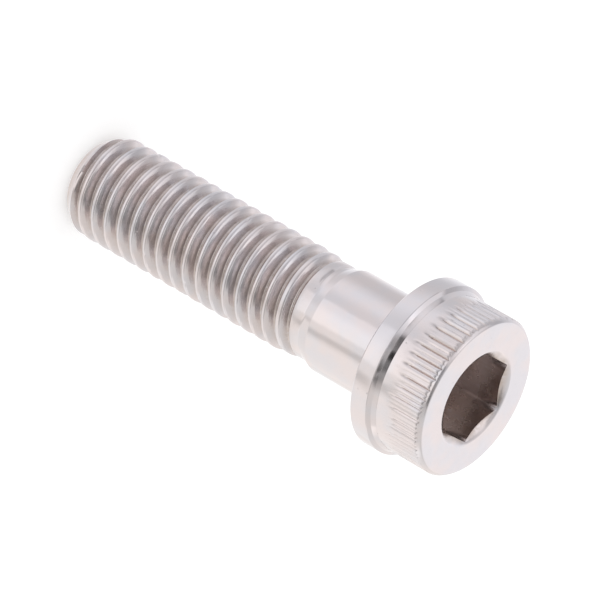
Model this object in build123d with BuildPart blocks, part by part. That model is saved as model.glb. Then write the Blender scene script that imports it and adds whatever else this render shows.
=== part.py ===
"""Shoulder bolt with a flanged, knurled socket head.

One turned and rolled piece of stainless steel. From the top down it has a knurled head
with a hexagon socket, a bevelled flange, a plain shoulder, a tapered neck and a shank with
a right-hand thread. Sizes are in millimetres. The origin is at the centre of the seat, which is the
underside of the flange. +Z points to the head and -Z to the thread's end.
"""

import os
from math import atan, ceil, degrees, radians, tan

from build123d import *

os.makedirs("parts", exist_ok=True)

# Shank, measured down from the seat
shank_length = 29.7
end_chamfer = 0.80  # 45 degrees

# Rolled thread, M8 x 1.25, right-hand
thread_diameter = 7.82  # over the crests
thread_pitch = 1.25
thread_angle = 60.0  # between a groove's flanks, which meet in a sharp root
crest_flat = 0.36  # width of a crest's top
crest_rise_turns = 1.75  # turns over which the crests rise from the neck to full height
root_rise_turns = 0.6  # turns over which the groove's root rises out of the neck
root_rise_direction = 106.0  # where the root starts to rise, in degrees round the axis

# Shoulder and neck
shoulder_diameter = 7.86
shoulder_length = 6.3
seat_chamfer = 0.2  # inside corner between the shoulder and the seat, 45 degrees
taper_length = 0.8
neck_diameter = 7.26
neck_length = 0.86  # plain stretch between the taper and the first crest
root_rise_distance = 1.05  # from the top of the neck down to where the root starts to rise

# Flange
flange_diameter = 12.9
flange_rim_height = 1.48
flange_seat_chamfer = 0.12
bevel_height = 0.30  # from the rim up to where the bevel turns steeper
bevel_step_width = 0.10  # the steeper stretch that meets the head
bevel_step_height = 0.19

# Head
head_diameter = 12.0
head_height = 5.85  # from the seat to the front face
head_chamfer = 0.17  # 45 degrees

# Straight knurl, cut from the front face towards the flange
knurl_count = 46
knurl_depth = 0.14
knurl_angle = 96.0  # included angle of each groove
knurl_plain_band = 0.85  # plain stretch of the head beside the bevel
knurl_fade = 0.55  # length over which a groove rises to nothing

# Hexagon socket for a 6 mm key
key_size = 6.0
key_clearance = 0.03
socket_depth = 4.1
socket_floor_angle = 150.0
countersink_diameter = 7.2
countersink_angle = 120.0

# Places that follow from the sizes above
thread_radius = thread_diameter / 2
shoulder_radius = shoulder_diameter / 2
neck_radius = neck_diameter / 2
flange_radius = flange_diameter / 2
head_radius = head_diameter / 2
neck_top = -shoulder_length - taper_length
neck_bottom = neck_top - neck_length
crest_top = neck_bottom - crest_rise_turns * thread_pitch
bevel_step = flange_rim_height + bevel_height
bevel_top = bevel_step + bevel_step_height
socket_radius = (key_size + key_clearance) / 2

# A thread groove in section is a V between two crests. Its cutter reaches past the crests.
# One cutter makes one turn, and as many follow as pass the thread's end.
flank_slope = tan(radians(thread_angle / 2))
thread_depth = (thread_pitch - crest_flat) / 2 / flank_slope
root_radius = thread_radius - thread_depth
cutter_clearance = 0.10
cutter_radius = thread_radius + cutter_clearance
cutter_half_width = (cutter_radius - root_radius) * flank_slope
root_rise_height = neck_top - root_rise_distance
thread_turns = ceil((shank_length + root_rise_height) / thread_pitch + 0.5)
root_rise_length = root_rise_turns * thread_pitch
root_rise_slope = (neck_radius + cutter_clearance - root_radius) / root_rise_length

# A knurl groove in section: its point lies knurl_depth inside the head's surface, and its
# mouth lies as far outside, so that it cuts clear of the head.
groove_point = head_radius - knurl_depth
groove_mouth = head_radius + knurl_depth
groove_half_width = (groove_mouth - groove_point) * tan(radians(knurl_angle / 2))
groove_end = bevel_top + knurl_plain_band
fade_start = groove_end + knurl_fade


def thread_cutter(height: float, rise_angle: float = 0) -> Part:
    """A right-hand helical V, upwards from the XY plane. Its root may rise outwards."""
    with BuildPart() as cutter:
        with BuildLine() as path:
            Helix(pitch=thread_pitch, height=height, radius=root_radius, cone_angle=rise_angle)
        with BuildSketch(Plane.XZ):
            with BuildLine():
                Polyline(
                    (root_radius, 0),
                    (cutter_radius, -cutter_half_width),
                    (cutter_radius, cutter_half_width),
                    close=True,
                )
            make_face()
        sweep(path=path.line, is_frenet=True)
    return cutter.part


def knurl_corners(lift: float) -> list:
    """Corners of a knurl groove's triangular section, moved outwards by lift."""
    return [
        (groove_point + lift, 0),
        (groove_mouth + lift, -groove_half_width),
        (groove_mouth + lift, groove_half_width),
    ]


one_turn = thread_cutter(thread_pitch)
root_rise = thread_cutter(root_rise_length, degrees(atan(root_rise_slope)))

# One knurl groove's cutter: a straight prism from above the face, then a stretch that rises
# out of the head's surface, as a knurling wheel's edge leaves it.
with BuildPart() as knurl_cutter:
    with BuildSketch(Plane.XY.offset(fade_start)) as full_section:
        with BuildLine():
            Polyline(knurl_corners(0), close=True)
        make_face()
    extrude(amount=head_height - fade_start + head_chamfer)
    with BuildSketch(Plane.XY.offset(groove_end)) as faded_section:
        with BuildLine():
            Polyline(knurl_corners(knurl_depth), close=True)
        make_face()
    loft([full_section.sketch, faded_section.sketch], ruled=True)


with BuildPart() as shoulder_bolt:
    # The turned outline, from the thread's end up to the front face
    with BuildSketch(Plane.XZ):
        with BuildLine():
            Polyline(
                (0, -shank_length),
                (thread_radius - end_chamfer, -shank_length),
                (thread_radius, -shank_length + end_chamfer),
                (thread_radius, crest_top),
                (neck_radius, neck_bottom),
                (neck_radius, neck_top),
                (shoulder_radius, -shoulder_length),
                (shoulder_radius, -seat_chamfer),
                (shoulder_radius + seat_chamfer, 0),
                (flange_radius - flange_seat_chamfer, 0),
                (flange_radius, flange_seat_chamfer),
                (flange_radius, flange_rim_height),
                (head_radius + bevel_step_width, bevel_step),
                (head_radius, bevel_top),
                (head_radius, head_height - head_chamfer),
                (head_radius - head_chamfer, head_height),
                (0, head_height),
                close=True,
            )
        make_face()
    revolve(axis=Axis.Z)

    # The thread's groove, turn by turn down the shank, and its rise out of the neck
    for turn in range(1, thread_turns + 1):
        turn_height = root_rise_height - turn * thread_pitch
        with Locations(Location((0, 0, turn_height), (0, 0, root_rise_direction))):
            add(one_turn, mode=Mode.SUBTRACT)
    with Locations(Location((0, 0, root_rise_height), (0, 0, root_rise_direction))):
        add(root_rise, mode=Mode.SUBTRACT)

    # Straight knurl round the head
    with PolarLocations(0, knurl_count):
        add(knurl_cutter.part, mode=Mode.SUBTRACT)

    # Countersunk hexagon socket with corners on the X axis and a shallow conical floor
    with Locations((0, 0, head_height)):
        CounterSinkHole(
            radius=socket_radius,
            counter_sink_radius=countersink_diameter / 2,
            depth=socket_depth,
            counter_sink_angle=countersink_angle,
        )
    with BuildSketch(Plane.XY.offset(head_height)):
        RegularPolygon(radius=socket_radius, side_count=6, major_radius=False)
    extrude(amount=-socket_depth, mode=Mode.SUBTRACT)
    with Locations((0, 0, head_height - socket_depth)):
        Cone(
            bottom_radius=0,
            top_radius=socket_radius,
            height=socket_radius / tan(radians(socket_floor_angle / 2)),
            align=(Align.CENTER, Align.CENTER, Align.MAX),
            mode=Mode.SUBTRACT,
        )

shoulder_bolt.part.label = "shoulder_bolt"
export_step(shoulder_bolt.part, "parts/shoulder_bolt.step")
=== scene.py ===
"""Dresses the shoulder bolt: one turned and rolled piece of stainless steel.

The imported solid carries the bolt's form and sizes. This script replaces it with one closed
mesh of the same form that adds what is too fine for the solid: the thread's round root, worn
crests and longer lead-in, the knurl's uneven grooves with their second track, the tabs at the
head's edge, and small roundings. The frame is the CAD frame: the origin is at the centre of
the seat under the flange, and +Z points to the head. The bolt stands on its thread's end.
Sizes are in millimetres until the mesh is made.
"""

import random
from math import acos, cos, degrees, floor, hypot, pi, radians, sin, sqrt, tan

import bmesh
import bpy
from mathutils import Matrix, Vector


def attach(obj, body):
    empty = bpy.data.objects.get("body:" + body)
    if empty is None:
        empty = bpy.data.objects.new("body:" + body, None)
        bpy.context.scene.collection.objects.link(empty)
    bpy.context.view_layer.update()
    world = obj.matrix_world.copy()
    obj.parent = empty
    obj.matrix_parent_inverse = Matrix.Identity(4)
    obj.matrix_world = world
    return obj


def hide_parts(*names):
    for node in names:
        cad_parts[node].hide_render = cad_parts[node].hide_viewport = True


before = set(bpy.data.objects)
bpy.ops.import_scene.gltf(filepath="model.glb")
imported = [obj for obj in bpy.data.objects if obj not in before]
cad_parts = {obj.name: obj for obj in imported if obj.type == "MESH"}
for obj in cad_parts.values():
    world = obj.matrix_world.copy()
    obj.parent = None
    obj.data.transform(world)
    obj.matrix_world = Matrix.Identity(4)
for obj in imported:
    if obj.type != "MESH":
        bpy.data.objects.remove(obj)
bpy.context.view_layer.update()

MM = 0.001  # one millimetre in metres
TAU = 2 * pi
seed = 7

# ---------------------------------------------------------------- sizes as in the solid, mm
shank_length = 29.7
end_chamfer = 0.80
thread_pitch = 1.25
thread_radius = 3.91
shoulder_radius = 3.93
shoulder_length = 6.3
taper_length = 0.8
neck_radius = 3.63
flange_radius = 6.45
flange_rim_height = 1.48
flange_seat_chamfer = 0.12
head_radius = 6.0
head_height = 5.85
head_chamfer = 0.17
knurl_count = 46
key_apothem = 3.015
socket_depth = 4.1
socket_floor_angle = 150.0
countersink_radius = 3.6
countersink_angle = 120.0

# ---------------------------------------------------------------- details of this mesh, mm
edge_round = 0.04  # roundings round the face and the socket's mouth
guard_width = 0.1  # flat ring that keeps the face's shading flat up to its edges
plain_band_row = 2.20  # height of the first even row below the knurl's uneven ends
bevel_step_radius = 6.17  # where the bevel turns steeper towards the head
bevel_step_height = 1.69
bevel_top_height = 2.03
bevel_top_round = 0.05
bevel_step_round = 0.012
rim_round = 0.08
seat_edge_round = 0.03
seat_outer_width = 0.5  # of the flat rings at the seat's outer and inner edges
seat_inner_width = 1.0
seat_fillet = 0.3
shoulder_round = 0.10
taper_blend = 0.6  # radius of the soft bend between taper and neck
neck_grid_top = -7.24  # where the turned skin hands over to the thread's skin
end_rings = (2.9, 1.5)  # radii of the rings on the flat end
sharp_edge_angle = radians(38)  # edges that turn more than this aren't shaded as round

thread_columns = 240
groove_zero_height = -8.525  # middle of the first full groove, at thread_zero_angle
thread_zero_angle = radians(-2.0)
root_radius = 3.233
root_round = 0.18
narrowest_row = 0.04  # keeps the rows apart where there is no groove yet
crest_round = 0.05
crest_crown = 0.001  # the crest's middle lies this far above its edges
largest_flank_share = 0.8  # of a flank, for the rounding at its top
largest_crest_share = 0.7  # of half a crest, for that same rounding
groove_start_turn = -0.90  # turns along the helix where the groove leaves the neck
groove_full_turn = -0.30
crest_start_turn = -0.45
crest_full_turn = 1.3
crest_rise_power = 0.8
lead_in_slope = tan(radians(34))  # the last ridge leans in over the end's chamfer

crest_wear = 0.016  # how much the rolled crest's height wanders
crest_wander = 0.03  # how much the crest's edges wander along the axis
wear_waves = 9
wear_rates = (1.5, 17.0)  # waves per turn
wander_rate = 0.7  # waves of the wander for each wave of the height
nick_depth = 0.05
nick_count = 26
nick_turns = (1.0, 17.0)  # the stretch of thread that has nicks
nick_half_length = 0.012  # in turns

face_edge = 5.73  # where the flat face ends
tab_top_radius = 5.88  # where the chamfer ends and the knurl's tabs begin
tab_bottom_height = 5.53
tab_height = head_height - (tab_top_radius - face_edge) - tab_bottom_height
tab_slope = tab_height / (head_radius - tab_top_radius)
chamfer_shares = (0.1, 0.5, 0.9)  # rows along the chamfer
tab_shares = (0.1, 0.5, 0.97)  # rows down a tab
drops_below_tab = (0.004, 0.25, 0.9)  # of the knurl's first rows
least_tab_height = 0.01

knurl_phase = radians(16.3)
knurl_end = 2.66  # height where the grooves begin
knurl_fade = 1.1
fade_shares = (1.0, 0.8, 0.62, 0.46, 0.3, 0.15, 0.0)  # rows from full depth to the end
knurl_deep_side = radians(-38.0)  # the wheel bit deepest on this side
knurl_side_power = 4  # how fast the bite weakens away from there
knurl_depth_deep = 0.16
knurl_depth_shallow = 0.07
second_track_depth = 0.060
second_track_start = 0.3  # columns beyond this share of a period belong to the second track

corner_relief_radius = 3.45  # the broach's corners are slightly flattened
floor_rings = (2.6, 1.8, 1.0, 0.3)  # radii of the rings on the socket's floor
floor_height = head_height - socket_depth
cone_slope = tan(radians(countersink_angle / 2))
floor_slope = tan(radians(socket_floor_angle / 2))


# ---------------------------------------------------------------- small helpers
def smooth(value: float) -> float:
    """Smooth step of a value clamped to 0..1."""
    value = min(1.0, max(0.0, value))
    return value * value * (3 - 2 * value)


def turned(angle: float, near: float) -> float:
    """The same angle, moved by whole turns until it lies near another."""
    return angle + TAU * round((near - angle) / TAU)


def even_angles(count: int) -> list:
    return [TAU * i / count for i in range(count)]


def rounded_outline(corners: list, steps: int = 4) -> list:
    """(radius, height) points of an outline whose corners carry a rounding radius."""
    points = []
    for index, (r, z, rounding) in enumerate(corners):
        here = Vector((r, z))
        if rounding == 0:
            points.append((r, z))
            continue
        before = (Vector(corners[index - 1][:2]) - here).normalized()
        after = (Vector(corners[index + 1][:2]) - here).normalized()
        half_angle = acos(max(-1.0, min(1.0, before.dot(after)))) / 2
        reach = rounding / tan(half_angle)
        centre = here + (before + after).normalized() * rounding / sin(half_angle)
        first = here + before * reach - centre
        last = here + after * reach - centre
        swing = first.angle_signed(last)
        for step in range(steps + 1):
            arm = first.copy()
            arm.rotate(Matrix.Rotation(-swing * step / steps, 2))
            points.append(tuple(centre + arm))
    return points


class Skin:
    """Points and faces of one closed skin, made ring by ring."""

    def __init__(self):
        self.points = []
        self.faces = []

    def point(self, angle: float, radius: float, height: float) -> int:
        self.points.append((radius * cos(angle), radius * sin(angle), height))
        return len(self.points) - 1

    def ring(self, angles: list, radius: float, height: float) -> list:
        return [self.point(angle, radius, height) for angle in angles]

    def face(self, corners: list):
        """Adds a face, without the corners that fall together."""
        kept = [corner for i, corner in enumerate(corners) if corner != corners[i - 1]]
        if len(kept) > 2:
            self.faces.append(kept)

    def band(self, upper: list, lower: list):
        """Quads between two rings with the same angles."""
        for i in range(len(upper)):
            self.face([upper[i - 1], lower[i - 1], lower[i], upper[i]])

    def revolve(self, upper: list, angles: list, outline: list) -> list:
        """Bands from a ring down an outline of (radius, height). Returns the last ring."""
        for radius, height in outline:
            lower = self.ring(angles, radius, height)
            self.band(upper, lower)
            upper = lower
        return upper

    def stitch(self, upper: list, upper_angles: list, lower: list, lower_angles: list):
        """Triangles between two rings with different angles."""
        start = upper_angles[0]
        nearest = min(range(len(lower)), key=lambda i: abs(turned(lower_angles[i], start) - start))
        lower = lower[nearest:] + lower[: nearest + 1]
        lower_angles = lower_angles[nearest:] + lower_angles[: nearest + 1]
        upper = upper + upper[:1]
        up = low = 0
        while up < len(upper) - 1 or low < len(lower) - 1:
            up_share = upper_angles[up + 1] - start if up + 1 < len(upper_angles) else TAU
            low_share = (lower_angles[low + 1] - start) % TAU if low + 2 < len(lower) else TAU
            if low == len(lower) - 1 or (up < len(upper) - 1 and up_share < low_share):
                self.face([upper[up], lower[low], upper[up + 1]])
                up += 1
            else:
                self.face([upper[up], lower[low], lower[low + 1]])
                low += 1


# ---------------------------------------------------------------- thread
# A groove has a round root, two flanks at flank_tilt to the axis, and half a crest each side.
flank_tilt = radians(60)
flank_slope = tan(flank_tilt)
arc_reach = root_round * sin(flank_tilt)
arc_rise = root_round * (1 - cos(flank_tilt))
first_groove = floor((groove_zero_height - neck_grid_top) / thread_pitch) - 2
last_groove = floor((groove_zero_height + shank_length) / thread_pitch) + 2


class CrestWear:
    """Slow unevenness of the rolled crest along the helix, and its nicks."""

    def __init__(self):
        rng = random.Random(seed)
        self.waves = [(rng.uniform(*wear_rates), rng.uniform(0, TAU)) for _ in range(wear_waves)]
        self.nicks = [rng.uniform(*nick_turns) for _ in range(nick_count)]

    def height(self, turn: float) -> float:
        """How far the crest lies under its full radius."""
        slow = sum(sin(TAU * turn * rate + phase) for rate, phase in self.waves) / wear_waves
        nearest = min(abs(turn - nick) for nick in self.nicks)
        nick = nick_depth * (1 - smooth(nearest / nick_half_length))
        return crest_wear * (1 + slow) / 2 + nick

    def shift(self, turn: float) -> float:
        """How far the crest's edge lies from its even place along the axis."""
        swing = sum(sin(TAU * turn * rate * wander_rate + 2 * phase) for rate, phase in self.waves)
        return crest_wander * swing / wear_waves


crest_unevenness = CrestWear()


def fullness_at(turn: float) -> float:
    """How full the rolled crest is: it rises from 0 on the neck to 1 on the thread."""
    share = (turn - crest_start_turn) / (crest_full_turn - crest_start_turn)
    return min(1.0, max(0.0, share)) ** crest_rise_power


def crest_at(turn: float) -> float:
    """Radius of the worn crest."""
    height = thread_radius - neck_radius - crest_unevenness.height(turn)
    return neck_radius + height * fullness_at(turn)


def root_at(turn: float) -> float:
    """Radius of the groove's floor: it sinks into the neck over the first turns."""
    share = smooth((turn - groove_start_turn) / (groove_full_turn - groove_start_turn))
    return neck_radius + (root_radius - neck_radius) * share


def arc_height(distance: float) -> float:
    """How far the round root has risen at a distance from the groove's middle."""
    return root_round - sqrt(root_round**2 - distance**2)


def half_groove(turn: float, side: int) -> list:
    """(distance from the middle, radius) of the rows on one side of a groove.

    The rows go up the round root and the flank to the rounded edge of the crest. The crest
    is wider where the thread isn't full.
    """
    crest_turn = turn + 0.5 * side
    root = root_at(turn)
    crest = max(root, crest_at(crest_turn))
    depth = crest - root
    arc_end = arc_reach
    if depth < arc_rise:
        arc_end = max(narrowest_row, sqrt(depth * (2 * root_round - depth)))
    arc_top = arc_height(arc_end)
    edge = arc_end + max(narrowest_row, (depth - arc_top) / flank_slope)
    edge += crest_unevenness.shift(crest_turn) * side * fullness_at(crest_turn)
    flank_side = min(crest_round, (edge - arc_end) * largest_flank_share)
    crest_side = min(flank_side, (thread_pitch / 2 - edge) * largest_crest_share)
    flank_top = edge - flank_side
    flank_middle = (arc_end + flank_top) / 2

    def flank_radius(distance: float) -> float:
        return root + arc_top + flank_slope * (distance - arc_end)

    rows = [
        (arc_end / 2, root + arc_height(arc_end / 2)),
        (arc_end, root + arc_top),
        (flank_middle, flank_radius(flank_middle)),
        (flank_top, flank_radius(flank_top)),
        (edge, crest - flank_slope * flank_side / 4),
        (edge + crest_side, crest - crest_crown),
    ]
    return [(distance, min(crest, max(root, radius))) for distance, radius in rows]


def groove_rows(turn: float) -> list:
    """(distance towards the thread's end, radius) of one groove's rows, crest to crest."""
    above = [(-distance, radius) for distance, radius in reversed(half_groove(turn, -1))]
    below = half_groove(turn, 1)
    crest = max(root_at(turn), crest_at(turn + 0.5))
    return above + [(0.0, root_at(turn))] + below + [(thread_pitch / 2, crest)]


def lead_in_radius(height: float) -> float:
    """Radius that the last ridge can't pass, so that a nut finds its way on."""
    return thread_radius - end_chamfer + lead_in_slope * (height + shank_length)


def thread_column(skin: Skin, angle: float, top_point: int, end_point: int) -> list:
    """One column of the thread's points. Rows beyond the neck or the end fall together."""
    column = []
    past_zero = (angle - thread_zero_angle) / TAU
    for groove in range(first_groove, last_groove + 1):
        turn = groove - past_zero
        middle = groove_zero_height - thread_pitch * turn
        for distance, radius in groove_rows(turn):
            height = middle - distance
            if height >= neck_grid_top:
                column.append(top_point)
            elif height <= -shank_length:
                column.append(end_point)
            else:
                column.append(skin.point(angle, min(radius, lead_in_radius(height)), height))
    return column


def add_thread(skin: Skin, top_ring: list, angles: list) -> list:
    """Helical rows from the neck's ring to the end's ring, which it returns."""
    end_ring = skin.ring(angles, thread_radius - end_chamfer, -shank_length)
    grid = [thread_column(skin, *column) for column in zip(angles, top_ring, end_ring)]
    # One full turn moves the rows by one pitch, which joins the last column to the first.
    step = len(groove_rows(0))
    grid.append([top_ring[0]] * step + grid[0][:-step])
    for left, right in zip(grid, grid[1:]):
        for row in range(len(left) - 1):
            skin.face([left[row], left[row + 1], right[row + 1], right[row]])
    return end_ring


# ---------------------------------------------------------------- knurl
class KnurlTrack:
    """One period of the knurl: a main groove and the fainter track beside it."""

    # Columns of the mesh, as shares of a period from the main groove's middle, with the
    # share of the main groove's depth and of the second track's depth at each.
    columns = (
        (-0.15, 0.08, 0.0),
        (-0.09, 0.42, 0.0),
        (0.00, 1.00, 0.0),
        (0.08, 0.52, 0.0),
        (0.15, 0.24, 0.0),
        (0.24, 0.06, 0.0),
        (0.33, 0.00, 0.0),
        (0.42, 0.02, 0.1),
        (0.49, 0.06, 0.4),
        (0.56, 0.10, 1.0),
        (0.63, 0.10, 0.4),
        (0.71, 0.06, 0.0),
    )

    # Ranges of what differs from groove to groove. The columns must stay in order, so the
    # places and widths vary less than the gaps between them.
    place_range = (-0.03, 0.03)  # of a period
    depth_range = (0.92, 1.08)
    second_depth_range = (0.3, 1.5)
    second_place_range = (-0.02, 0.02)  # of a period
    end_range = (-0.14, 0.2)
    second_end_range = (0.0, 0.35)  # further from the flange than the main groove's end
    shallow_stretch = 0.85  # width of a shallow groove, against the columns above
    deep_stretch = 0.35  # what a deep groove's width gains

    def __init__(self, index: int, rng: random.Random):
        self.period = TAU / knurl_count
        place = rng.uniform(*self.place_range) * self.period
        self.middle = knurl_phase + self.period * index + place
        nearness = (0.5 + 0.5 * cos(self.middle - knurl_deep_side)) ** knurl_side_power
        depth = knurl_depth_shallow + (knurl_depth_deep - knurl_depth_shallow) * nearness
        self.depth = depth * rng.uniform(*self.depth_range)
        self.stretch = self.shallow_stretch + self.deep_stretch * nearness
        self.second_depth = second_track_depth * rng.uniform(*self.second_depth_range)
        self.second_shift = rng.uniform(*self.second_place_range)
        self.end = knurl_end + rng.uniform(*self.end_range)
        self.second_end = self.end + rng.uniform(*self.second_end_range)

    def column(self, share: float, main: float, second: float) -> tuple:
        """Angle, depth and end of one column."""
        if share > second_track_start:
            share = share + self.second_shift
        else:
            share = share * self.stretch
        angle = self.middle + share * self.period
        depth = self.depth * main + self.second_depth * second
        return angle, depth, self.second_end if second else self.end


def knurl_columns() -> list:
    rng = random.Random(seed)
    tracks = [KnurlTrack(index, rng) for index in range(knurl_count)]
    return [track.column(*column) for track in tracks for column in KnurlTrack.columns]


def head_edge(depth: float) -> list:
    """(radius, height) rows of one column from the face down over the chamfer to the knurl.

    Below the chamfer the knurl's ridges lean in a little, as short tabs. A deep groove runs
    out through the chamfer itself.
    """
    floor_radius = head_radius - depth
    turn_radius = min(tab_top_radius, floor_radius)
    turn_height = head_height - (turn_radius - face_edge)
    tab_bottom = min(tab_bottom_height + depth * tab_slope, turn_height - least_tab_height)
    rows = []
    for share in chamfer_shares:
        run = (turn_radius - face_edge) * share
        rows.append((face_edge + run, head_height - run))
    for share in tab_shares:
        radius = turn_radius + (floor_radius - turn_radius) * share
        rows.append((radius, turn_height + (tab_bottom - turn_height) * share))
    for drop in drops_below_tab:
        rows.append((floor_radius, tab_bottom - drop))
    return rows


def add_head(skin: Skin, columns: list) -> tuple:
    """Face's outer ring down to the plain band under the knurl: its first and last rings."""
    angles = [column[0] for column in columns]
    face_radius = face_edge - edge_round
    rings = [skin.ring(angles, face_radius - inset, head_height) for inset in (guard_width, 0)]
    edges = [head_edge(depth) for _, depth, _ in columns]
    for row in zip(*edges):
        rings.append([skin.point(angle, *place) for angle, place in zip(angles, row)])
    for share in fade_shares:
        fade = [
            skin.point(angle, head_radius - depth * smooth(share), end + knurl_fade * share)
            for angle, depth, end in columns
        ]
        rings.append(fade)
    for upper, lower in zip(rings, rings[1:]):
        skin.band(upper, lower)
    return rings[0], rings[-1]


# ---------------------------------------------------------------- socket
def socket_angles() -> list:
    """Columns of the hexagon, close together at its relieved corners."""
    relief = acos(key_apothem / corner_relief_radius)
    side = [relief * share for share in (1, 0.95, 0.75, 0.5, 0.25)]
    across = [-x for x in side] + [0.0] + list(reversed(side)) + [radians(30)]
    return [radians(30 + 60 * k) + x for k in range(6) for x in across]


def hexagon_radius(angle: float) -> float:
    from_flat = (angle % radians(60)) - radians(30)
    return min(key_apothem / cos(from_flat), corner_relief_radius)


def cone_height(radius: float) -> float:
    """Height of the countersink at a radius."""
    return head_height - (countersink_radius - radius) / cone_slope


def floor_cone_height(radius: float) -> float:
    """Height of the socket's drilled floor at a radius."""
    return floor_height - (key_apothem - radius) / floor_slope


def wall_ring(skin: Skin, angles: list, inset: float, height_of) -> list:
    """A ring of the hexagon's outline, moved out by the inset, with a height for each radius."""
    radii = [hexagon_radius(angle) for angle in angles]
    return [skin.point(angle, r + inset, height_of(r)) for angle, r in zip(angles, radii)]


def add_socket(skin: Skin, angles: list) -> list:
    """Countersink, six walls and the drilled floor. Returns the guard ring on the face."""
    mouth = skin.ring(angles, countersink_radius + edge_round, head_height)
    lip = skin.ring(angles, countersink_radius - edge_round / 2, head_height - edge_round * 0.7)
    skin.band(lip, mouth)
    guard = skin.ring(angles, countersink_radius + edge_round + guard_width, head_height)
    skin.band(mouth, guard)

    edge = edge_round / 2
    rings = [
        lip,
        wall_ring(skin, angles, edge, lambda radius: cone_height(radius + edge)),
        wall_ring(skin, angles, 0, lambda radius: cone_height(radius) - edge),
        wall_ring(skin, angles, 0, lambda radius: head_height - socket_depth / 2),
        wall_ring(skin, angles, 0, lambda radius: floor_height),
    ]
    rings += [skin.ring(angles, radius, floor_cone_height(radius)) for radius in floor_rings]
    for upper, lower in zip(rings, rings[1:]):
        skin.band(lower, upper)
    tip = skin.point(0, 0, floor_cone_height(0))
    last = rings[-1]
    for i in range(len(last)):
        skin.face([last[i - 1], last[i], tip])
    return guard


# ---------------------------------------------------------------- the whole bolt
def bevel_outline() -> list:
    """From the plain band down the bevel and the rim to the seat."""
    return rounded_outline(
        [
            (head_radius, plain_band_row, 0),
            (head_radius, bevel_top_height, bevel_top_round),
            (bevel_step_radius, bevel_step_height, bevel_step_round),
            (flange_radius, flange_rim_height, rim_round),
            (flange_radius, flange_seat_chamfer, seat_edge_round),
            (flange_radius - flange_seat_chamfer, 0, seat_edge_round),
            (flange_radius - seat_outer_width, 0, 0),
        ]
    )


def shoulder_outline() -> list:
    """From the seat down the shoulder and the taper to the neck."""
    return rounded_outline(
        [
            (shoulder_radius + seat_inner_width, 0, 0),
            (shoulder_radius, 0, seat_fillet),
            (shoulder_radius, -shoulder_length, shoulder_round),
            (neck_radius, -shoulder_length - taper_length, taper_blend),
            (neck_radius, neck_grid_top, 0),
        ]
    )


def build_skin() -> Skin:
    """The bolt's whole skin, from the socket over the head and down to the flat end."""
    skin = Skin()
    columns = knurl_columns()
    head_angles = [column[0] for column in columns]
    face_ring, band_ring = add_head(skin, columns)

    hexagon = socket_angles()
    socket_ring = add_socket(skin, hexagon)
    skin.stitch(socket_ring, hexagon, face_ring, head_angles)

    flange_ring = skin.revolve(band_ring, head_angles, bevel_outline())
    shank_angles = even_angles(thread_columns)
    outline = shoulder_outline()
    seat_ring = skin.ring(shank_angles, *outline[0])
    skin.stitch(flange_ring, head_angles, seat_ring, shank_angles)
    neck_ring = skin.revolve(seat_ring, shank_angles, outline[1:])

    end_ring = add_thread(skin, neck_ring, shank_angles)
    flat_end = [(radius, -shank_length) for radius in end_rings]
    last_ring = skin.revolve(end_ring, shank_angles, flat_end)
    tip = skin.point(0, 0, -shank_length)
    for i in range(len(last_ring)):
        skin.face([last_ring[i - 1], tip, last_ring[i]])
    return skin


def build_bolt() -> bpy.types.Object:
    skin = build_skin()
    mesh = bpy.data.meshes.new("shoulder_bolt_steel")
    mesh.from_pydata([[c * MM for c in point] for point in skin.points], [], skin.faces)
    shape = bmesh.new()
    shape.from_mesh(mesh)
    bmesh.ops.delete(shape, geom=[v for v in shape.verts if not v.link_faces], context="VERTS")
    bmesh.ops.recalc_face_normals(shape, faces=shape.faces)
    shape.to_mesh(mesh)
    shape.free()
    mesh.shade_smooth()
    mesh.set_sharp_from_angle(angle=sharp_edge_angle)
    bolt = bpy.data.objects.new("shoulder_bolt_steel", mesh)
    bpy.context.scene.collection.objects.link(bolt)
    store(mesh, "finish", finish_at)
    # painted shade in the grooves, and the socket's darker tone, for the material's colour
    store(mesh, "painted_shade_and_darkening", painted_shade_and_darkening_at)
    weighted = bolt.modifiers.new("face_weighted_normals", "WEIGHTED_NORMAL")
    weighted.keep_sharp = True
    return bolt


# ---------------------------------------------------------------- what the material reads
socket_reach = key_apothem * 1.16  # just past the hexagon's corners
socket_top = head_height - 0.4
socket_bottom = floor_height - 1
knurl_finish_end = bevel_top_height + 0.6
thread_finish_top = neck_grid_top - 0.4
socket_finish = 0.30  # broached
face_finish = 0.17  # faced, with its chamfer
knurl_finish = 0.20
flange_finish = 0.12  # polished, like the shoulder
neck_finish = 0.11
thread_finish = 0.21  # rolled
# The socket's steel is darker and browner all over.
socket_darkening = 0.62
knurl_shade_start = 0.07  # depth in the knurl where the painted shade begins
knurl_shade_range = 0.06  # how much deeper it is at its darkest
thread_shade_start = 0.1  # depth in the thread where the painted shade begins
root_painted_shade = 0.80


def in_socket(radius: float, height: float) -> bool:
    return radius < socket_reach and socket_bottom < height < socket_top


def finish_at(radius: float, height: float) -> float:
    """Roughness of the steel at a point of the skin."""
    if in_socket(radius, height):
        return socket_finish
    if height > head_height - head_chamfer:
        return face_finish
    if height > knurl_finish_end:
        return knurl_finish
    if height > -shoulder_length:
        return flange_finish
    if height > thread_finish_top:
        return neck_finish
    return thread_finish


def painted_shade_and_darkening_at(radius: float, height: float) -> float:
    """How much darker and browner the steel is: all over in the socket, and as painted shade towards
    the bottom of the knurl's and the thread's grooves.
    """
    if in_socket(radius, height):
        return socket_darkening
    # Painted shade: the knurl's grooves get darker the deeper they go.
    if knurl_end < height < head_height - head_chamfer:
        return smooth((head_radius - knurl_shade_start - radius) / knurl_shade_range)
    # Painted shade: the thread's grooves get darker towards the root.
    if height < neck_grid_top:
        depth = thread_radius - thread_shade_start - radius
        return root_painted_shade * smooth(depth / (thread_radius - root_radius))
    return 0.0


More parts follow.
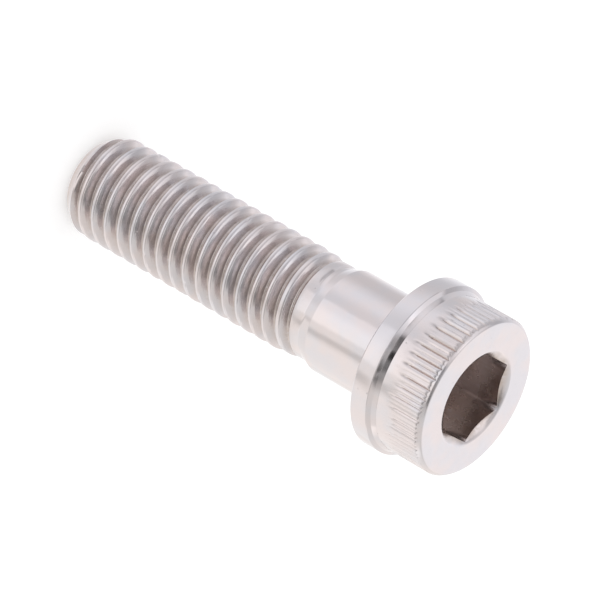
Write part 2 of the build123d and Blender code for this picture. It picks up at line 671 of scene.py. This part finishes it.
def store(mesh: bpy.types.Mesh, name: str, value_at):
    """Keeps a value of each vertex as a mesh attribute for the material."""
    layer = mesh.attributes.new(name, "FLOAT", "POINT")
    for vertex, item in zip(mesh.vertices, layer.data):
        x, y, z = vertex.co / MM
        item.value = value_at(hypot(x, y), z)


# ---------------------------------------------------------------- material
class Nodes:
    """Short calls for building a node tree."""

    def __init__(self, tree: bpy.types.NodeTree):
        self.tree = tree

    def add(self, kind: str, inputs: dict = None, **settings):
        node = self.tree.nodes.new(kind)
        for name, value in settings.items():
            setattr(node, name, value)
        for name, value in (inputs or {}).items():
            self.feed(node.inputs[name], value)
        return node

    def feed(self, socket, value):
        if isinstance(value, bpy.types.NodeSocket):
            self.tree.links.new(value, socket)
        else:
            socket.default_value = value

    def math(self, operation: str, *values):
        node = self.add("ShaderNodeMath", operation=operation)
        for socket, value in zip(node.inputs, values):
            self.feed(socket, value)
        return node.outputs[0]

    def arrow(self, operation: str, *values):
        node = self.add("ShaderNodeVectorMath", operation=operation)
        for socket, value in zip(node.inputs, values):
            self.feed(socket, value)
        return node.outputs[0]

    def vector(self, x, y, z):
        return self.add("ShaderNodeCombineXYZ", {"X": x, "Y": y, "Z": z}).outputs[0]

    def split(self, vector):
        return self.add("ShaderNodeSeparateXYZ", {0: vector}).outputs

    def noise(self, place, scale: float, detail: float):
        settings = {"Vector": place, "Scale": scale, "Detail": detail}
        return self.add("ShaderNodeTexNoise", settings).outputs["Fac"]

    def ramp(self, value, low: float, high: float, to_low: float = 0.0, to_high: float = 1.0):
        """Smooth step of a value from one range to another."""
        inputs = {"Value": value, "From Min": low, "From Max": high}
        inputs |= {"To Min": to_low, "To Max": to_high}
        node = self.add("ShaderNodeMapRange", inputs, interpolation_type="SMOOTHSTEP")
        return node.outputs[0]

    def mix(self, factor, first, second):
        return self.add("ShaderNodeMix", {0: factor, 2: first, 3: second}).outputs[0]

    def mix_colour(self, factor, first, second):
        node = self.add("ShaderNodeMix", data_type="RGBA")
        for socket, value in zip([node.inputs[0], *node.inputs[6:8]], [factor, first, second]):
            self.feed(socket, value)
        return node.outputs[2]

    def attribute(self, name: str):
        return self.add("ShaderNodeAttribute", attribute_name=name).outputs["Fac"]

    def bump(self, height, depth: float, normal=None):
        """A bump whose white stands depth millimetres over its black."""
        inputs = {"Height": height, "Strength": 1.0, "Distance": depth * MM}
        node = self.add("ShaderNodeBump", inputs)
        if normal:
            self.feed(node.inputs["Normal"], normal)
        return node.outputs[0]


warm_steel = (0.700, 0.636, 0.634, 1)
cool_steel = (0.658, 0.632, 0.655, 1)
# darker brown steel, mixed in as painted shade in the grooves of the knurl and thread, and as the
# socket's darker tone
darkened_brown_steel = (0.545, 0.465, 0.425, 1)
knurl_mark_strength = 1.7
ring_mark_strength = 0.45


def steel_colour(tree: Nodes, place, axial_streaks):
    """Faint warm and cool clouds, made darker and browner by the mesh's attribute: painted shade in
    the grooves of the knurl and thread, and the socket's darker tone, with random lighter patches in
    it.
    """
    clouds = tree.ramp(tree.noise(place, 0.45, 4.0), 0.36, 0.64)
    clean = tree.mix_colour(clouds, warm_steel, cool_steel)
    lighter_patches = tree.ramp(tree.noise(place, 1.7, 5.0), 0.63, 0.68, 1.0, 0.45)
    streaks = tree.ramp(axial_streaks, 0.3, 0.7, 0.78, 1.12)
    darkening_share = tree.math("MULTIPLY", streaks, lighter_patches)
    # The attribute paints shade into the grooves of the knurl and thread, and darkens the socket.
    darkening_share = tree.math("MULTIPLY", tree.attribute("painted_shade_and_darkening"), darkening_share)
    return tree.mix_colour(darkening_share, clean, darkened_brown_steel)


def steel_roughness(tree: Nodes, place):
    """The finish of each zone, with worn patches."""
    patches = tree.ramp(tree.noise(place, 1.3, 4.0), 0.3, 0.7, 0.8, 1.25)
    return tree.math("MULTIPLY", tree.attribute("finish"), patches)


def tool_marks(tree: Nodes, place, axial_streaks):
    """Rings left by turning, streaks along the knurl, and streaks along the thread."""
    x, y, z = tree.split(place)
    squares = tree.math("ADD", tree.math("MULTIPLY", x, x), tree.math("MULTIPLY", y, y))
    radius = tree.math("SQRT", squares)
    ring_place = tree.vector(tree.math("SUBTRACT", z, radius), 0.0, 0.0)
    rings = tree.math("MULTIPLY", tree.noise(ring_place, 9.0, 3.0), ring_mark_strength)

    turn_height = tree.math("MULTIPLY", tree.math("ARCTAN2", y, x), thread_pitch / TAU)
    helix_height = tree.math("SUBTRACT", z, turn_height)
    slow_x = tree.math("MULTIPLY", x, 0.12)
    slow_y = tree.math("MULTIPLY", y, 0.12)
    thread_streaks = tree.noise(tree.vector(slow_x, slow_y, helix_height), 9.0, 3.0)

    on_knurl = tree.math("MULTIPLY", tree.ramp(z, 2.5, 2.9), tree.ramp(z, 5.75, 5.6))
    on_thread = tree.ramp(z, neck_grid_top, neck_grid_top - 0.5)
    knurl_streaks = tree.math("MULTIPLY", axial_streaks, knurl_mark_strength)
    return tree.mix(on_thread, tree.mix(on_knurl, rings, knurl_streaks), thread_streaks)


def steel_normal(tree: Nodes, place, axial_streaks):
    """Slow waves left by polishing, tool marks and a few pits."""
    waves = tree.noise(place, 0.9, 1.0)
    cells = {"Vector": place, "Scale": 0.8, "Randomness": 1.0}
    from_pit = tree.add("ShaderNodeTexVoronoi", cells).outputs["Distance"]
    normal = tree.bump(waves, 0.012)
    normal = tree.bump(tool_marks(tree, place, axial_streaks), 0.0025, normal)
    return tree.bump(tree.ramp(from_pit, 0.02, 0.075), 0.01, normal)


def stainless_steel() -> bpy.types.Material:
    """Turned, rolled and broached stainless steel; all lengths in the nodes are in mm."""
    material = bpy.data.materials.new("stainless_steel_turned")
    material.use_nodes = True
    tree = Nodes(material.node_tree)
    surface = material.node_tree.nodes["Principled BSDF"]
    place = tree.add("ShaderNodeTexCoord").outputs["Object"]
    to_mm = {0: place, "Scale": 1 / MM}
    place = tree.add("ShaderNodeVectorMath", to_mm, operation="SCALE").outputs[0]
    x, y, z = tree.split(place)
    along_axis = tree.vector(x, y, tree.math("MULTIPLY", z, 0.06))
    axial_streaks = tree.noise(along_axis, 5.0, 3.0)

    surface.inputs["Metallic"].default_value = 1.0
    tree.feed(surface.inputs["Base Color"], steel_colour(tree, place, axial_streaks))
    tree.feed(surface.inputs["Roughness"], steel_roughness(tree, place))
    tree.feed(surface.inputs["Normal"], steel_normal(tree, place, axial_streaks))
    return material


# ---------------------------------------------------------------- stage
tent_level = 1.08
cool_light = (0.985, 0.985, 1.01, 1)  # from the left
warm_light = (1.0, 0.985, 0.96, 1)  # from the right
floor_white = (0.80, 0.80, 0.80, 1)
floor_glow = 0.35

# The room that the polished steel mirrors. Each card has the azimuth and elevation of its
# middle, its half width, its half height and the softness of its edge, all in degrees. The
# last value is how much brighter than the tent it is, or darker where it is negative. Cards
# that overlap add up. Left and right are seen from the camera's side with the bolt upright.
studio_cards = {
    "dark table edge in front": (-12, -5, 85, 14, 4, -0.40),
    "dark bar below the lens": (8, 21, 34, 7, 9, -0.24),
    "middle of that bar": (0, 21, 26, 7, 9, -0.25),
    "heart of that bar": (-8, 21, 18, 7, 9, -0.20),
    "grey ceiling": (0, 103, 400, 33, 6, -0.32),
    "lamp above the bar": (3, 42, 33, 10, 4, 0.46),
    "dark stand left of the lamp": (-60, 35, 22, 12, 6, -0.42),
    "grey wall on the right": (90, 62, 130, 40, 40, -0.18),
    "seam of that wall": (44, 62, 16, 40, 40, -0.24),
    "dark wall on the left": (-110, 33, 30, 27, 40, -0.48),
    "grey card right of the lens": (50, 6, 52, 23, 6, -0.27),
    "grey floor at the left": (-115, -36, 28, 27, 40, -0.28),
    "faint upright band": (-28, -23, 20, 120, 25, -0.14),
    "edge of the ceiling": (13, 61, 39, 8, 5, -0.52),
    "corner of the ceiling": (72, 66, 16, 6, 6, -0.56),
    "dark gap in the floor": (47, -46, 6, 21, 8, -0.27),
    "white sheet low in front": (0, -31, 25, 8, 6, 0.20),
    "lamp behind the bolt": (180, 28, 35, 12, 6, 0.27),
    "lamp high on the left": (-93, 51, 25, 21, 6, 0.40),
    "lamp at the right": (85, 14, 34, 14, 10, 0.24),
    "white sheet at the right": (100, -29, 40, 9, 6, 0.09),
}


def build_camera():
    """The photograph's view. The camera is rolled, so the standing bolt lies at a slant."""
    aim = Vector((0.006, 0.154, -10.129)) * MM
    azimuth = radians(-2.049)
    elevation = radians(30.629)
    distance = 367.516 * MM
    roll = radians(119.961)
    towards = Vector((cos(elevation) * cos(azimuth), cos(elevation) * sin(azimuth), sin(elevation)))
    data = bpy.data.cameras.new("photo_camera")
    data.sensor_width = 36.0
    data.lens = 316.769
    data.clip_start = 0.01
    camera = bpy.data.objects.new("photo_camera", data)
    upright = towards.to_track_quat("Z", "Y").to_matrix()
    rolled = upright @ Matrix.Rotation(roll, 3, "Z")
    camera.matrix_world = Matrix.Translation(aim + towards * distance) @ rolled.to_4x4()
    bpy.context.scene.collection.objects.link(camera)
    bpy.context.scene.camera = camera


def add_card(tree: Nodes, direction, light, card: tuple):
    """The light with one more card in it, where direction is (azimuth, elevation, 0)."""
    azimuth, elevation, half_width, half_height, softness, change = card
    away = tree.arrow("SUBTRACT", direction, (azimuth, elevation, 0))
    away = tree.arrow("WRAP", away, (180, 180, 180), (-180, -180, -180))
    ranges = {
        "Vector": tree.arrow("ABSOLUTE", away),
        "From Min": (half_width + softness / 2, half_height + softness / 2, 1),
        "From Max": (half_width - softness / 2, half_height - softness / 2, 0),
    }
    kinds = {"data_type": "FLOAT_VECTOR", "interpolation_type": "SMOOTHSTEP"}
    share = tree.add("ShaderNodeMapRange", ranges, **kinds).outputs["Vector"]
    across, up, _ = tree.split(share)
    return tree.math("MULTIPLY_ADD", tree.math("MULTIPLY", across, up), change, light)


def build_world():
    """A white light tent, with the darker and brighter places that shape the metal.

    The camera and the floor's paper get plain white. What the metal mirrors is the tent.
    """
    world = bpy.data.worlds.new("soft_studio")
    bpy.context.scene.world = world
    world.use_nodes = True
    world.cycles.sampling_method = "NONE"  # a soft tent has no small lamp to aim at
    tree = Nodes(world.node_tree)
    x, y, z = tree.split(tree.add("ShaderNodeTexCoord").outputs["Generated"])
    azimuth = tree.math("MULTIPLY", tree.math("ARCTAN2", y, x), degrees(1))
    elevation = tree.math("MULTIPLY", tree.math("ARCSINE", z), degrees(1))
    direction = tree.vector(azimuth, elevation, 0.0)
    light = tent_level
    for card in studio_cards.values():
        light = add_card(tree, direction, light, card)

    tent = world.node_tree.nodes["Background"]
    tree.feed(tent.inputs["Strength"], tree.math("MAXIMUM", light, 0.0))
    tree.feed(tent.inputs["Color"], tree.mix_colour(tree.ramp(y, -0.5, 0.7), cool_light, warm_light))
    plain = tree.add("ShaderNodeBackground", {"Color": (1, 1, 1, 1), "Strength": 1.0})
    rays = tree.add("ShaderNodeLightPath").outputs
    unshaped = tree.math("MAXIMUM", rays["Is Camera Ray"], rays["Is Diffuse Ray"])
    seen = tree.add("ShaderNodeMixShader", {0: unshaped, 1: tent.outputs[0], 2: plain.outputs[0]})
    tree.feed(world.node_tree.nodes["World Output"].inputs["Surface"], seen.outputs[0])


def white_floor() -> bpy.types.Material:
    """Paper that shows the shadow. Metal and glass see the white tent through it."""
    material = bpy.data.materials.new("white_floor")
    material.use_nodes = True
    tree = Nodes(material.node_tree)
    material.node_tree.nodes.clear()
    paper = tree.add("ShaderNodeBsdfDiffuse", {"Color": floor_white}).outputs[0]
    white_glow = {"Color": (1, 1, 1, 1), "Strength": floor_glow}
    glow = tree.add("ShaderNodeEmission", white_glow).outputs[0]
    lit = tree.add("ShaderNodeAddShader", {0: paper, 1: glow}).outputs[0]
    clear = tree.add("ShaderNodeBsdfTransparent").outputs[0]
    rays = tree.add("ShaderNodeLightPath").outputs
    reflected = tree.math("MAXIMUM", rays["Is Glossy Ray"], rays["Is Transmission Ray"])
    mixed = tree.add("ShaderNodeMixShader", {0: reflected, 1: lit, 2: clear}).outputs[0]
    tree.add("ShaderNodeOutputMaterial", {"Surface": mixed})
    return material


def build_floor():
    side = 2.0  # metres from the middle to each edge
    mesh = bpy.data.meshes.new("floor")
    corners = [(-side, -side), (side, -side), (side, side), (-side, side)]
    mesh.from_pydata([(x, y, -shank_length * MM) for x, y in corners], [], [(0, 1, 2, 3)])
    mesh.materials.append(white_floor())
    floor_plane = bpy.data.objects.new("floor", mesh)
    bpy.context.scene.collection.objects.link(floor_plane)


build_camera()
build_world()
build_floor()
bolt = build_bolt()
bolt.data.materials.append(stainless_steel())
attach(bolt, "root")
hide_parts("shoulder_bolt")

bpy.context.scene.view_settings.view_transform = "Standard"
